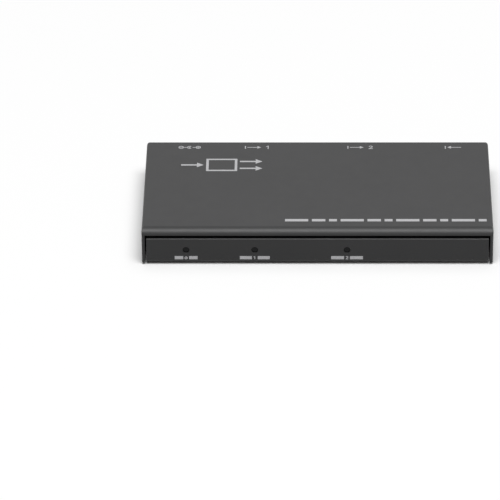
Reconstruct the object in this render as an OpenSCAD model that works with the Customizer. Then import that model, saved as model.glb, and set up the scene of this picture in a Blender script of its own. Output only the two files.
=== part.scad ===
// Slim video splitter: one digital video input copied to two outputs, in a folded metal case.
// Millimetres. +X is the right side seen from the front, +Y the rear with its sockets, +Z up.
// The origin is the middle of the footprint, on the surface that the feet stand on.

/* [Cover] */
// Overall width, side to side
case_w = 115; // [110:0.5:140]
// Overall depth, from the front wall to the cover's rear edge
case_d = 58; // [54:0.5:80]
// Thickness of the cover's sheet
cover_t = 1; // [0.95:0.05:1.3]
// Outside radius of the cover's top edge at the front
edge_r = 3; // [2.6:0.1:3.4]
// Outside radius of the cover's top edges at the sides
side_r = 1; // [0.8:0.1:1.6]
// Radius of the cover's upright edges, seen from above
corner_r = 0.7; // [0.3:0.1:0.9]
// Height of the front lip, from the top face to its lower edge
lip_h = 2.1; // [1.9:0.1:2.5]
// Height of the shadow groove under the lip
groove_h = 1.1; // [0.6:0.1:1.4]

/* [Tray] */
// Thickness of the tray's sheet
tray_t = 1; // [0.8:0.05:1.1]
// Outside radius of the tray's bends
tray_r = 1.2; // [1.2:0.1:1.8]
// Rounding along the top of the front wall
hem_r = 0.5; // [0.2:0.1:0.7]
// Slot between the ends of the tray's walls and the cover's sides
end_gap = 0.5; // [0.4:0.1:1.2]
// How far the cover's rear edge overhangs the rear wall
rear_overhang = 0.4; // [0.2:0.1:0.8]
// Corner relief that parts the side flanges from the front and rear walls
relief = 5; // [5:0.5:7]

/* [Feet] */
// Diameter of a rubber foot
foot_d = 8; // [5:0.5:10]
// Height of a rubber foot
foot_h = 0.8; // [0.6:0.1:2.5]
// Chamfer around a foot's lower edge
foot_chamfer = 0.3; // [0.1:0.1:0.5]
// Distance of a foot's centre from the case's sides, front and rear
foot_inset = 8; // [7:0.5:12]

/* [Board] */
// Thickness of the circuit board
board_t = 1.2; // [1:0.1:1.6]
// Gap between the board's side edges and the tray's flanges
board_side_gap = 0.45; // [0.3:0.05:0.7]
// Gap between the board's front edge and the front wall
board_front_gap = 2.4; // [2:0.1:3.5]
// Gap between the board's rear edge and the rear wall
board_rear_gap = 0.6; // [0.4:0.1:1]
// Radius of the board's corners
board_corner_r = 1.5; // [0.5:0.1:3]
// Height of the standoffs under the board
standoff_h = 2; // [1.4:0.1:3]
// Diameter of a standoff's body
standoff_d = 4.5; // [4:0.1:5]
// Diameter of a standoff's shank, pressed into the tray's floor
standoff_shank_d = 3.2; // [2.8:0.1:3.6]
// Distance of the front standoffs from the case's sides
standoff_from_side = 17.5; // [16:0.5:22]
// Distance of the front standoffs from the front
standoff_from_front = 9.5; // [8.5:0.5:12]
// Distance of the rear standoffs from the rear
standoff_from_rear = 8; // [7:0.5:9]
// Air between the tallest part on the board and the cover
head_room = 1; // [0.5:0.1:4]

/* [Screws] */
// Thread diameter of every screw
screw_d = 2; // [1.6:0.1:2.2]
// Head diameter of the countersunk cover screws
cover_head_d = 3.8; // [3.4:0.1:3.9]
// Length of the cover screws, heads included
cover_screw_l = 3; // [2.7:0.1:3.4]
// Distance of the cover screws from the middle of the depth
cover_screw_y = 12; // [8:0.5:14]
// Outside diameter of the collars that take the cover screws
collar_d = 3.4; // [3:0.1:3.8]
// Depth of those collars behind the flange
collar_l = 0.8; // [0.6:0.1:1]
// Metal left around a collar, and its height over the board
collar_rise = 0.3; // [0.2:0.1:0.6]
// Head diameter of the board screws
board_head_d = 3.8; // [3.2:0.1:4.2]
// Head height of the board screws
board_head_h = 1.2; // [1:0.1:1.6]
// How far the board screws end above the tray's underside
board_screw_tip = 0.4; // [0.2:0.1:0.8]
// Width of a cross recess's arms
recess_w = 0.5; // [0.4:0.05:0.6]
// Depth of a cross recess
recess_depth = 0.7; // [0.5:0.1:0.8]

/* [Clearances] */
// Clearance of a thread, a shank or a press fit, on the radius
fit_gap = 0.03; // [0.01:0.01:0.05]
// Clearance of a screw in a plain hole, on the radius
hole_gap = 0.15; // [0.1:0.05:0.3]
// Clearance between the cover and the tray's sides and top edges
cover_gap = 0.25; // [0.1:0.05:0.35]
// Gap around the sockets in the rear wall
panel_gap = 0.3; // [0.15:0.05:0.4]
// Gap around the solder legs and tails in the board
tail_gap = 0.2; // [0.1:0.05:0.3]
// Gap around the contacts in their insulators
contact_gap = 0.01; // [0.005:0.005:0.02]

/* [Ports] */
// Distance of the power jack from the left side
dc_from_left = 14.5; // [12:0.5:16]
// Distance of the first output socket from the left side
out_1_from_left = 37.5; // [35:0.5:40]
// Distance of the second output socket from the right side
out_2_from_right = 43; // [38:0.5:44]
// Distance of the input socket from the right side
in_from_right = 11.5; // [10.5:0.5:13]
// How far solder legs and tails reach below the board
tail_drop = 0.7; // [0.3:0.1:1]

/* [Video sockets] */
// Width of a socket's mouth
mouth_w = 14; // [13.8:0.05:14.2]
// Height of a socket's mouth
mouth_h = 4.55; // [4.4:0.05:4.8]
// Height of the slanted lower corners of a mouth
mouth_slant = 1.7; // [1.2:0.1:2]
// Rounding of a mouth's corners
mouth_r = 0.4; // [0.2:0.05:0.6]
// Sheet thickness of a socket's shell
shell_t = 0.35; // [0.3:0.01:0.4]
// Length of a socket's shell
shell_l = 11.5; // [10.5:0.1:12.5]
// Width of a shell's solder legs
leg_w = 1.2; // [0.8:0.1:1.6]
// Distance of the outer pair of legs from the mouth
leg_1_from_mouth = 4; // [3.8:0.1:5]
// Distance of the inner pair of legs from the mouth
leg_2_from_mouth = 9; // [7.5:0.1:9.5]
// Width of a spring leaf in a shell
leaf_w = 2; // [1.4:0.1:2.6]
// Length of a spring leaf
leaf_l = 4.4; // [3:0.1:5]
// Thickness of a spring leaf
leaf_t = 0.25; // [0.2:0.01:0.28]
// Width of the slot around a spring leaf
leaf_slot = 0.3; // [0.2:0.05:0.4]
// Distance of a spring leaf's root from the mouth
leaf_from_mouth = 2.4; // [1.8:0.1:3]
// How far a spring leaf's tip dips into the mouth
leaf_dip = 0.35; // [0.2:0.05:0.45]
// Distance between the two leaves of one wall
leaf_spacing = 6.8; // [5.4:0.2:7]

/* [Video contacts] */
// Width of the contact tongue
tongue_w = 11; // [10.4:0.1:11.6]
// Thickness of the contact tongue
tongue_t = 1.2; // [1:0.05:1.4]
// How far the tongue lies behind the mouth
tongue_recess = 1.2; // [0.8:0.1:1.6]
// Length of the block that carries the tongue
block_l = 2.6; // [2:0.1:3]
// Pitch of the contacts in one row
contact_pitch = 1; // [0.9:0.02:1]
// Width of a contact
contact_w = 0.3; // [0.24:0.02:0.36]
// Thickness of a contact
contact_t = 0.12; // [0.1:0.01:0.16]
// How far the contacts begin behind the tongue's tip
contact_start = 0.5; // [0.3:0.1:1]
// How far the contacts stand proud of the tongue
contact_proud = 0.04; // [0.02:0.01:0.06]
// Gap between the contacts' legs and the back of the socket
contact_leg_gap = 0.1; // [0.05:0.05:0.2]
// Length of the contacts' feet on the board
contact_foot_l = 1; // [0.7:0.1:1.3]

/* [Power jack] */
// Width of the jack's body
dc_w = 6.4; // [6:0.1:7]
// Height of the jack's body
dc_h = 6; // [5.8:0.1:7]
// Length of the jack's body behind the rear wall
dc_l = 9.4; // [9:0.1:11]
// Gap between the jack's body and the rear wall
dc_wall_gap = 0.3; // [0.1:0.1:0.6]
// Diameter of the round nose in the rear wall
dc_nose_d = 5.6; // [5.2:0.1:5.8]
// Diameter of the plug's bore
dc_bore_d = 3.7; // [3.5:0.05:3.9]
// Depth of the plug's bore
dc_bore_l = 8.6; // [7.5:0.1:9]
// Diameter of the centre pin
dc_pin_d = 1.3; // [1:0.05:1.4]
// Diameter of the centre pin's shank, pressed into the jack's back
dc_shank_d = 1.7; // [1.5:0.05:2]
// How far the centre pin's tip lies behind the mouth
dc_pin_recess = 0.8; // [0.4:0.1:1.2]
// Sheet thickness of the solder tails and the side spring
dc_tail_t = 0.3; // [0.2:0.05:0.4]
// Width of the solder tails
dc_tail_w = 2; // [1.4:0.1:2.4]
// Length of the side spring
dc_spring_l = 6; // [5:0.1:7]
// Height of the side spring
dc_spring_h = 3; // [2.4:0.1:3.6]
// Width of the spring's finger in the bore
dc_finger_w = 1.4; // [1:0.1:1.8]
// How far the finger reaches into the bore
dc_finger_reach = 0.15; // [0.05:0.05:0.3]

/* [Indicators] */
// Distance of the power light from the left side
light_1_from_left = 14.5; // [14:0.1:20]
// Distance of the first output's light from the left side
light_2_from_left = 37; // [30:0.1:40]
// Distance of the second output's light from the left side
light_3_from_left = 67.2; // [62:0.1:72]
// Diameter of a light pipe's front
pipe_d = 2.2; // [1.6:0.1:2.4]
// Diameter of the flange that stops a light pipe behind the front wall
pipe_flange_d = 3; // [2.8:0.1:3.4]
// Thickness of that flange
pipe_flange_t = 0.8; // [0.5:0.1:1]
// How far a light pipe's front lies behind the front wall's face
pipe_recess = 0.35; // [0:0.05:0.5]
// Air between a light pipe and its lamp
pipe_air = 0.2; // [0.1:0.05:0.4]
// Width of a lamp
lamp_w = 3; // [2.4:0.1:3.4]
// Depth of a lamp
lamp_d = 1.2; // [1:0.1:1.6]
// Height of a lamp
lamp_h = 1.2; // [1:0.1:1.6]

/* [Splitter chip] */
// Side of the chip's body
chip_w = 12; // [10:0.5:14]
// Height of the chip's body
chip_h = 1.2; // [0.9:0.1:1.4]
// Height of the chip bodies over the board
chip_stand = 0.1; // [0.05:0.05:0.2]
// Leads on each side of the chip
chip_leads = 14; // [8:1:14]
// Pitch of the chip's leads
chip_pitch = 0.65; // [0.5:0.05:0.65]
// Thickness of a lead
lead_t = 0.15; // [0.1:0.01:0.2]
// Width of a lead
lead_w = 0.3; // [0.2:0.02:0.36]
// How far the leads reach out from a chip
lead_reach = 1; // [0.8:0.1:1.3]
// Thickness of the pad between the chip and the heat sink
pad_t = 0.4; // [0.2:0.1:0.6]
// Side of the heat sink
sink_w = 16; // [14:0.5:18]
// Thickness of the heat sink's base
sink_base_t = 1.2; // [0.8:0.1:1.6]
// Number of fins on the heat sink
sink_fins = 7; // [5:1:8]
// Thickness of a fin
sink_fin_t = 0.9; // [0.6:0.1:1]
// Air between the fins and the cover
sink_air = 0.8; // [0.4:0.1:1.5]

/* [Supply parts] */
// Distance of the regulator from the power jack's back
regulator_from_jack = 6; // [5:0.5:7]
// Width of the regulator
regulator_w = 6.5; // [6:0.1:7]
// Depth of the regulator
regulator_d = 3.5; // [3:0.1:4]
// Height of the regulator
regulator_h = 1.6; // [1.4:0.1:1.8]
// Pitch of the regulator's leads
regulator_pitch = 2.3; // [2:0.05:2.4]
// Width of the regulator's broad tab
regulator_tab_w = 3; // [2.6:0.1:3.4]
// Length of the regulator's leads and tab
regulator_lead_l = 1.5; // [1:0.1:1.8]
// Distance of the inductor from the regulator's middle
inductor_from_regulator = 9; // [8:0.5:11]
// Side of the inductor
inductor_w = 5; // [4:0.1:5.6]
// Height of the inductor
inductor_h = 2.8; // [2:0.1:4]
// Radius of the inductor's corners
inductor_r = 1; // [0.5:0.1:1.5]
// Distance of the storage capacitors from the regulator's middle
cap_from_regulator = 8; // [7:0.5:9]
// Distance between the two storage capacitors
cap_spacing = 7; // [6.5:0.1:8]
// Diameter of a storage capacitor
cap_d = 5; // [4:0.1:5.6]
// Height of a storage capacitor
cap_h = 5.4; // [4:0.1:5.8]
// Height of a storage capacitor's base
cap_base_h = 0.8; // [0.5:0.1:1]
// How far the base stands out around a storage capacitor
cap_base_rim = 0.15; // [0.05:0.05:0.3]

/* [Small parts] */
// Width of the memory chip
memory_w = 4; // [3.6:0.1:4.4]
// Length of the memory chip
memory_l = 5; // [4.6:0.1:5.4]
// Height of the memory chip
memory_h = 1.5; // [1.2:0.1:1.8]
// Pitch of the memory chip's leads
memory_pitch = 1.27; // [1:0.01:1.3]
// Distance between the splitter chip's and the memory chip's middles
memory_from_chip = 18; // [15:0.5:20]
// Length of the clock crystal
crystal_l = 5; // [3:0.1:5.4]
// Width of the clock crystal
crystal_w = 3.2; // [2.4:0.1:3.6]
// Height of the clock crystal
crystal_h = 1.1; // [0.7:0.1:1.4]
// Radius of the clock crystal's corners
crystal_r = 0.6; // [0.3:0.1:0.8]
// Distance between the splitter chip's and the crystal's middles
crystal_from_chip = 13.5; // [12.5:0.5:16]
// Length of a surge array
surge_l = 2.5; // [2:0.1:2.8]
// Width of a surge array
surge_w = 1.2; // [1:0.1:1.4]
// Height of a surge array
surge_h = 0.6; // [0.4:0.1:0.8]
// Distance between the two surge arrays of one socket
surge_spacing = 5.2; // [4:0.1:6]
// Distance of the surge arrays from the contacts' feet
surge_from_feet = 2.4; // [1.5:0.1:3]
// Length of a small chip resistor or capacitor
small_l = 1; // [0.8:0.1:1.2]
// Width of a small chip resistor or capacitor
small_w = 0.5; // [0.4:0.05:0.6]
// Height of a small chip resistor or capacitor
small_h = 0.5; // [0.3:0.05:0.6]
// Pitch of a row of small chips
small_pitch = 1.7; // [1.4:0.1:1.9]
// Distance of the rows of small chips from what they serve
small_from_part = 2.2; // [2:0.1:2.6]

/* [Hidden] */
$fn = 64;
// How far a cutting body runs past what it cuts
cut = 0.5;
// Contacts in the upper and the lower row of a video socket
upper_contacts = 10;
lower_contacts = 9;
// Leads on each side of the memory chip, and on the regulator's narrow side
memory_leads = 4;
supply_leads = 3;
// Chip capacitors on each side of the splitter chip, and chip resistors behind each socket
capacitors_a_side = 6;
resistors_a_socket = 4;
// Segments of a rounded corner in a socket's outline
corner_steps = 5;

// Levels, from the floor up
tray_z = foot_h;
floor_z = tray_z + tray_t;
board_z = floor_z + standoff_h;
board_top = board_z + board_t;
shell_h = mouth_h + 2 * shell_t;
tallest_part = max(shell_h, dc_h, cap_h);
cover_in_z = board_top + tallest_part + head_room;
case_h = cover_in_z + cover_t;
lip_z = case_h - lip_h;
front_top = lip_z - groove_h;
wall_top = cover_in_z - cover_gap;
cover_screw_z = board_top + collar_d / 2 + collar_rise;
flange_top = cover_screw_z + collar_d / 2 + collar_rise;

// Outlines, from the middle out
half_w = case_w / 2;
front_y = -case_d / 2;
rear_y = case_d / 2;
cover_in_x = half_w - cover_t;
tray_x = cover_in_x - cover_gap;
flange_in_x = tray_x - tray_t;
wall_x = cover_in_x - end_gap;
front_in_y = front_y + tray_t;
tongue_y = front_y + edge_r;
rear_wall_y = rear_y - rear_overhang;
rear_in_y = rear_wall_y - tray_t;

// Board outline
board_x = flange_in_x - board_side_gap;
board_front = front_in_y + board_front_gap;
board_rear = rear_in_y - board_rear_gap;

// Ports
dc_x = -half_w + dc_from_left;
out_1_x = -half_w + out_1_from_left;
out_2_x = half_w - out_2_from_right;
in_x = half_w - in_from_right;
video_xs = [out_1_x, out_2_x, in_x];
shell_w = mouth_w + 2 * shell_t;
tongue_z = shell_t + mouth_h / 2;
contact_back_y = -shell_l - contact_leg_gap - contact_t;
dc_z = board_top + dc_h / 2;
dc_nose_l = rear_overhang + tray_t + dc_wall_gap;
dc_back_y = -dc_nose_l - dc_l;
dc_spring_y = dc_back_y + dc_l / 2;

// Indicators
light_xs = [for (from_left = [light_1_from_left, light_2_from_left, light_3_from_left]) from_left - half_w];
light_z = board_top + lamp_h / 2;
pipe_front_y = front_y + pipe_recess;
pipe_back_y = board_front - pipe_air;

// Chips on the board
port_feet_y = rear_y + contact_back_y - contact_foot_l;
chip_x = (out_1_x + out_2_x) / 2;
chip_y = (port_feet_y + board_front) / 2;
chip_top = board_top + chip_stand + chip_h;
sink_z = chip_top + pad_t;
sink_top = cover_in_z - sink_air;
supply_y = rear_y + dc_back_y - regulator_from_jack;
surge_y = port_feet_y - surge_from_feet;

// Helpers

module along_x(x0, x1) {
  translate([x0, 0, 0]) rotate([90, 0, 90]) linear_extrude(x1 - x0) children();
}

module along_y(y0, y1) {
  translate([0, y1, 0]) rotate([90, 0, 0]) linear_extrude(y1 - y0) children();
}

module box(low, high) {
  translate(low) cube(high - low);
}

// Block of a given size, standing on the board around a point
module on_board(x, y, size) {
  translate([x - size.x / 2, y - size.y / 2, board_top]) cube(size);
}

// What rounding takes off a square corner at the origin, whose sides run along +X and +Y
module corner_waste(r) {
  difference() {
    translate([-cut, -cut]) square(r + cut);
    translate([r, r]) circle(r);
  }
}

// Rectangle between two corners, each rounded to its own radius, anticlockwise from the lower left
module round_rect(low, high, radii) {
  corners = [low, [high.x, low.y], high, [low.x, high.y]];
  difference() {
    translate(low) square(high - low);
    for (i = [0 : 3])
      if (radii[i] > 0)
        translate(corners[i]) rotate(90 * i) corner_waste(radii[i]);
  }
}

// Rectangle around the origin with one radius at all four corners
module round_plate(w, d, r) {
  round_rect([-w / 2, -d / 2], [w / 2, d / 2], [r, r, r, r]);
}

function unit(v) = v / norm(v);

// Arc that rounds the corner b between a and c on an anticlockwise outline
function corner_arc(a, b, c, r) =
  let (
    to_a = unit(a - b),
    to_c = unit(c - b),
    half = acos(to_a * to_c) / 2,
    centre = b + unit(to_a + to_c) * r / sin(half),
    first = b + to_a * r / tan(half) - centre,
    start = atan2(first.y, first.x),
    sweep = 180 - 2 * half
  )
  [for (i = [0 : corner_steps])
    let (angle = start + sweep * i / corner_steps)
    centre + r * [cos(angle), sin(angle)]];

function rounded(points, r) =
  let (n = len(points))
  [for (i = [0 : n - 1])
    each corner_arc(points[(i + n - 1) % n], points[i], points[(i + 1) % n], r)];

// Outline of a video socket's mouth, grown by g all round: wide above, with slanted lower corners
function mouth_outline(g) =
  let (
    x = mouth_w / 2 + g,
    low = shell_t - g,
    high = shell_t + mouth_h + g,
    slant = mouth_slant + g * (2 - sqrt(2))
  )
  rounded([[-x + slant, low], [x - slant, low], [x, low + slant],
           [x, high], [-x, high], [-x, low + slant]], mouth_r + max(g, 0));

// Middles of a row of things, spread about 0
function row_xs(count, pitch) = [for (i = [0 : count - 1]) (i - (count - 1) / 2) * pitch];

// Cross recess sunk into a screw head whose face lies at z = 0
module cross_recess(head_d) {
  arm = 0.6 * head_d;
  for (turn = [0, 90])
    rotate(turn)
      translate([-arm / 2, -recess_w / 2, -recess_depth])
        cube([arm, recess_w, recess_depth + cut]);
}

// Case

// Block inside the cover's outer faces (inset 0) or its inner faces (inset of one sheet)
module cover_block(inset, low_z, high_y) {
  x = half_w - inset;
  y = front_y + inset;
  z = case_h - inset;
  front_r = edge_r - inset;
  sides_r = max(0, side_r - inset);
  intersection() {
    along_x(-x, x) round_rect([y, low_z], [high_y, z], [0, 0, 0, front_r]);
    along_y(y, high_y) round_rect([-x, low_z], [x, z], [0, 0, sides_r, sides_r]);
  }
}

// Places a cover screw's axis: its +Z points out of the case's side
module at_cover_screws() {
  for (side = [-1, 1], y = [-cover_screw_y, cover_screw_y])
    translate([side * half_w, y, cover_screw_z])
      rotate([0, 90 * side, 0])
        children();
}

// Countersunk screw under a face at z = 0, or its hole when grown by a gap
module countersunk(length, gap) {
  head_h = (cover_head_d - screw_d) / 2;
  translate([0, 0, -head_h]) cylinder(d1 = screw_d + 2 * gap, d2 = cover_head_d + 2 * gap, h = head_h);
  translate([0, 0, -length]) cylinder(d = screw_d + 2 * gap, h = length - head_h);
}

module top_cover() {
  color("#2c2c2e") difference() {
    intersection() {
      cover_block(0, tray_z, rear_y);
      translate([0, 0, tray_z]) linear_extrude(case_h - tray_z) round_plate(case_w, case_d, corner_r);
    }
    cover_block(cover_t, tray_z - cut, rear_y + cut);
    box([-cover_in_x, front_y - cut, tray_z - cut], [cover_in_x, front_y + edge_r, lip_z]);
    at_cover_screws() {
      countersunk(cover_t + cut, fit_gap);
      cylinder(d = cover_head_d + 2 * fit_gap, h = cut);
    }
  }
}

// Front wall with its joggled tongue behind the lip, and the floor folded with it
module front_fold() {
  difference() {
    round_rect([front_y, tray_z], [front_y + relief, front_top], [tray_r, 0, 0, hem_r]);
    round_rect([front_in_y, floor_z], [front_y + relief + cut, front_top + cut],
               [tray_r - tray_t, 0, 0, 0]);
  }
  translate([front_y + hem_r, front_top - tray_t])
    square([tongue_y + tray_t - front_y - hem_r, tray_t]);
  translate([tongue_y, front_top - tray_t])
    square([tray_t, wall_top - front_top + tray_t]);
}

module rear_fold() {
  difference() {
    round_rect([rear_wall_y - relief, tray_z], [rear_wall_y, wall_top], [0, tray_r, 0, 0]);
    round_rect([rear_wall_y - relief - cut, floor_z], [rear_in_y, wall_top + cut],
               [0, tray_r - tray_t, 0, 0]);
  }
}

// Left side flange and the floor folded with it
module side_fold() {
  floor_l = 2 * tray_r;
  difference() {
    round_rect([-tray_x, tray_z], [-tray_x + floor_l, flange_top], [tray_r, 0, 0, 0]);
    round_rect([-flange_in_x, floor_z], [-tray_x + floor_l + cut, flange_top + cut],
               [tray_r - tray_t, 0, 0, 0]);
  }
}

// Two standoffs near the front corners and one between each outer pair of sockets
module at_standoffs() {
  front_spots = [for (side = [-1, 1])
    [side * (half_w - standoff_from_side), front_y + standoff_from_front]];
  rear_spots = [for (pair = [[dc_x, out_1_x], [out_2_x, in_x]])
    [(pair[0] + pair[1]) / 2, rear_y - standoff_from_rear]];
  for (spot = concat(front_spots, rear_spots))
    translate(spot) children();
}

module base_tray() {
  color("#242426") difference() {
    union() {
      along_x(-wall_x, wall_x) front_fold();
      along_x(-wall_x, wall_x) rear_fold();
      box([-tray_x + tray_r, front_y + tray_r, tray_z], [tray_x - tray_r, rear_wall_y - tray_r, floor_z]);
      for (side = [0, 1])
        mirror([side, 0, 0])
          along_y(front_y + relief, rear_wall_y - relief) side_fold();
      at_cover_screws()
        translate([0, 0, flange_in_x - half_w - collar_l])
          cylinder(d = collar_d, h = collar_l + tray_t / 2);
    }
    at_cover_screws()
      translate([0, 0, flange_in_x - half_w - collar_l - cut])
        cylinder(d = screw_d + 2 * fit_gap, h = half_w - flange_in_x + collar_l + cut);
    at_standoffs()
      translate([0, 0, tray_z - cut])
        cylinder(d = standoff_shank_d + 2 * fit_gap, h = tray_t + 2 * cut);
    for (x = light_xs)
      translate([x, front_in_y + cut, light_z])
        rotate([90, 0, 0])
          cylinder(d = pipe_d + 2 * fit_gap, h = tray_t + 2 * cut);
    for (x = video_xs)
      translate([x, 0, board_top])
        along_y(rear_in_y - cut, rear_wall_y + cut) polygon(mouth_outline(shell_t + panel_gap));
    translate([dc_x, rear_wall_y + cut, dc_z])
      rotate([90, 0, 0])
        cylinder(d = dc_nose_d + 2 * panel_gap, h = tray_t + 2 * cut);
  }
}

module cover_screws() {
  color("#1d1d1f") at_cover_screws() difference() {
    countersunk(cover_screw_l, 0);
    cross_recess(cover_head_d);
  }
}

module rubber_feet() {
  r = foot_d / 2;
  color("#161617")
    for (x = [-half_w + foot_inset, half_w - foot_inset], y = [front_y + foot_inset, rear_y - foot_inset])
      translate([x, y, 0])
        rotate_extrude()
          polygon([[0, 0], [r - foot_chamfer, 0], [r, foot_chamfer], [r, foot_h], [0, foot_h]]);
}

// Board and its fixings

// Places a socket: its mouth at y = 0, the board's top at z = 0
module at_port(x) {
  translate([x, rear_y, board_top]) children();
}

module main_board() {
  depth = board_rear - board_front;
  color("#17452f") difference() {
    translate([0, board_front + depth / 2, board_z])
      linear_extrude(board_t)
        round_plate(2 * board_x, depth, board_corner_r);
    at_standoffs()
      translate([0, 0, board_z - cut])
        cylinder(d = screw_d + 2 * hole_gap, h = board_t + 2 * cut);
    for (x = video_xs)
      at_port(x) shell_legs(tail_gap);
    at_port(dc_x) {
      pin_tail(tail_gap);
      spring_tail(tail_gap);
    }
  }
}

module board_standoffs() {
  color("#b8a05a") at_standoffs() difference() {
    union() {
      translate([0, 0, floor_z]) cylinder(d = standoff_d, h = standoff_h);
      translate([0, 0, tray_z]) cylinder(d = standoff_shank_d, h = tray_t);
    }
    translate([0, 0, tray_z - cut])
      cylinder(d = screw_d + 2 * fit_gap, h = board_z - tray_z + 2 * cut);
  }
}

module board_screws() {
  crown = board_head_h / 3;
  tip_z = tray_z + board_screw_tip;
  color("#c3c4c6") at_standoffs() difference() {
    union() {
      translate([0, 0, board_top]) cylinder(d = board_head_d, h = board_head_h - crown);
      translate([0, 0, board_top + board_head_h - crown])
        cylinder(d1 = board_head_d, d2 = board_head_d - 2 * crown, h = crown);
      translate([0, 0, tip_z]) cylinder(d = screw_d, h = board_top - tip_z);
    }
    translate([0, 0, board_top + board_head_h]) cross_recess(board_head_d);
  }
}

// Video sockets, in the frame of at_port

// Solder legs of a shell, or their slots in the board when grown by a gap
module shell_legs(gap) {
  leg_x = (shell_w - shell_t) / 2;
  for (side = [-1, 1], from_mouth = [leg_1_from_mouth, leg_2_from_mouth])
    translate([side * leg_x, -from_mouth, -board_t - tail_drop])
      linear_extrude(board_t + tail_drop + mouth_slant + 2 * shell_t)
        square([shell_t + 2 * gap, leg_w + 2 * gap], center = true);
}

// Slot that frees a spring leaf in a shell's lower wall
module leaf_cut() {
  translate([-leaf_w / 2 - leaf_slot, -leaf_from_mouth - leaf_l - leaf_slot, -cut])
    cube([leaf_w + 2 * leaf_slot, leaf_l + leaf_slot, shell_t + 2 * cut]);
}

// Spring leaf, rooted in the lower wall near the mouth and rising inwards
module leaf() {
  tilt = atan(leaf_dip / leaf_l);
  translate([-leaf_w / 2, leaf_t - leaf_from_mouth, 0])
    rotate([-tilt, 0, 0])
      translate([0, -leaf_l - leaf_t, 0])
        cube([leaf_w, leaf_l + leaf_t, leaf_t]);
}

// Copies its children to the four leaf places, two in the lower wall and two in the upper
module at_leaves() {
  for (x = [-leaf_spacing / 2, leaf_spacing / 2]) {
    translate([x, 0, 0]) children();
    translate([x, 0, shell_h]) mirror([0, 0, 1]) children();
  }
}

module socket_shell(x) {
  color("#b4b7ba") at_port(x) {
    difference() {
      along_y(-shell_l, 0) polygon(mouth_outline(shell_t));
      along_y(-shell_l - cut, cut) polygon(mouth_outline(0));
      at_leaves() leaf_cut();
    }
    at_leaves() leaf();
    shell_legs(0);
  }
}

// Strip of one contact along the tongue, or its groove when grown by a gap
module contact_strip(x, z, gap) {
  length = -contact_back_y - tongue_recess - contact_start;
  translate([x - contact_w / 2 - gap, contact_back_y, z - gap])
    cube([contact_w + 2 * gap, length + gap, contact_t + 2 * gap]);
}

// Leg of one contact down the socket's back, and its foot on the board
module contact_leg(x, z) {
  translate([x - contact_w / 2, contact_back_y, 0]) cube([contact_w, contact_t, z + contact_t]);
  translate([x - contact_w / 2, contact_back_y - contact_foot_l, 0])
    cube([contact_w, contact_foot_l + contact_t, contact_t]);
}

// Middle and level of each contact, the upper row first
function contact_spots() =
  let (
    upper_z = tongue_z + tongue_t / 2 - contact_t + contact_proud,
    lower_z = tongue_z - tongue_t / 2 - contact_proud
  )
  concat([for (x = row_xs(upper_contacts, contact_pitch)) [x, upper_z]],
         [for (x = row_xs(lower_contacts, contact_pitch)) [x, lower_z]]);

module socket_insulator(x) {
  color("#1b1b1c") at_port(x) difference() {
    union() {
      along_y(-shell_l, -shell_l + block_l) polygon(mouth_outline(-fit_gap));
      box([-tongue_w / 2, -shell_l, tongue_z - tongue_t / 2],
          [tongue_w / 2, -tongue_recess, tongue_z + tongue_t / 2]);
    }
    for (spot = contact_spots())
      contact_strip(spot[0], spot[1], contact_gap);
  }
}

module socket_contacts(x) {
  color("#caa54b") at_port(x)
    for (spot = contact_spots()) {
      contact_strip(spot[0], spot[1], 0);
      contact_leg(spot[0], spot[1]);
    }
}

// Power jack, in the frame of at_port

// Solder tail of the centre pin, or its slot in the board when grown by a gap
module pin_tail(gap) {
  translate([0, dc_back_y - dc_tail_t / 2, -board_t - tail_drop])
    linear_extrude(board_t + tail_drop + dc_h / 2 + dc_shank_d / 2)
      square([dc_tail_w + 2 * gap, dc_tail_t + 2 * gap], center = true);
}

// Solder tail of the side spring, or its slot when grown by a gap
module spring_tail(gap) {
  translate([-(dc_w - dc_tail_t) / 2, dc_spring_y, -board_t - tail_drop])
    linear_extrude(board_t + tail_drop + dc_h / 2)
      square([dc_tail_t + 2 * gap, dc_tail_w + 2 * gap], center = true);
}

// Leaf of the side spring with its finger into the bore, or their pocket when grown by a gap
module side_spring(gap) {
  finger_l = dc_w / 2 - dc_bore_d / 2 + dc_finger_reach;
  finger_w = dc_finger_w + 2 * gap;
  translate([-dc_w / 2 - gap, dc_spring_y - dc_spring_l / 2 - gap, dc_h / 2 - dc_spring_h / 2 - gap])
    cube([dc_tail_t + 2 * gap, dc_spring_l + 2 * gap, dc_spring_h + 2 * gap]);
  translate([-dc_w / 2, dc_spring_y - finger_w / 2, dc_h / 2 - finger_w / 2])
    cube([finger_l, finger_w, finger_w]);
}

module jack_cylinder(d, front, back) {
  translate([0, front, dc_h / 2])
    rotate([90, 0, 0])
      cylinder(d = d, h = front - back);
}

module power_jack_housing() {
  color("#1a1a1b") at_port(dc_x) difference() {
    union() {
      box([-dc_w / 2, dc_back_y, 0], [dc_w / 2, -dc_nose_l, dc_h]);
      jack_cylinder(dc_nose_d, 0, -dc_nose_l - cut);
    }
    jack_cylinder(dc_bore_d, cut, -dc_bore_l);
    jack_cylinder(dc_shank_d + 2 * fit_gap, -dc_bore_l + cut, dc_back_y - cut);
    side_spring(fit_gap);
    spring_tail(fit_gap);
  }
}

module power_jack_pin() {
  tip_y = -dc_pin_recess - dc_pin_d / 2;
  color("#c8c9cb") at_port(dc_x) {
    jack_cylinder(dc_pin_d, tip_y, dc_back_y);
    jack_cylinder(dc_shank_d, -dc_bore_l, dc_back_y - dc_tail_t);
    translate([0, tip_y, dc_h / 2]) sphere(d = dc_pin_d);
    pin_tail(0);
  }
}

module power_jack_spring() {
  color("#c0c1c3") at_port(dc_x) {
    side_spring(0);
    spring_tail(0);
  }
}

// Indicators

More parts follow.
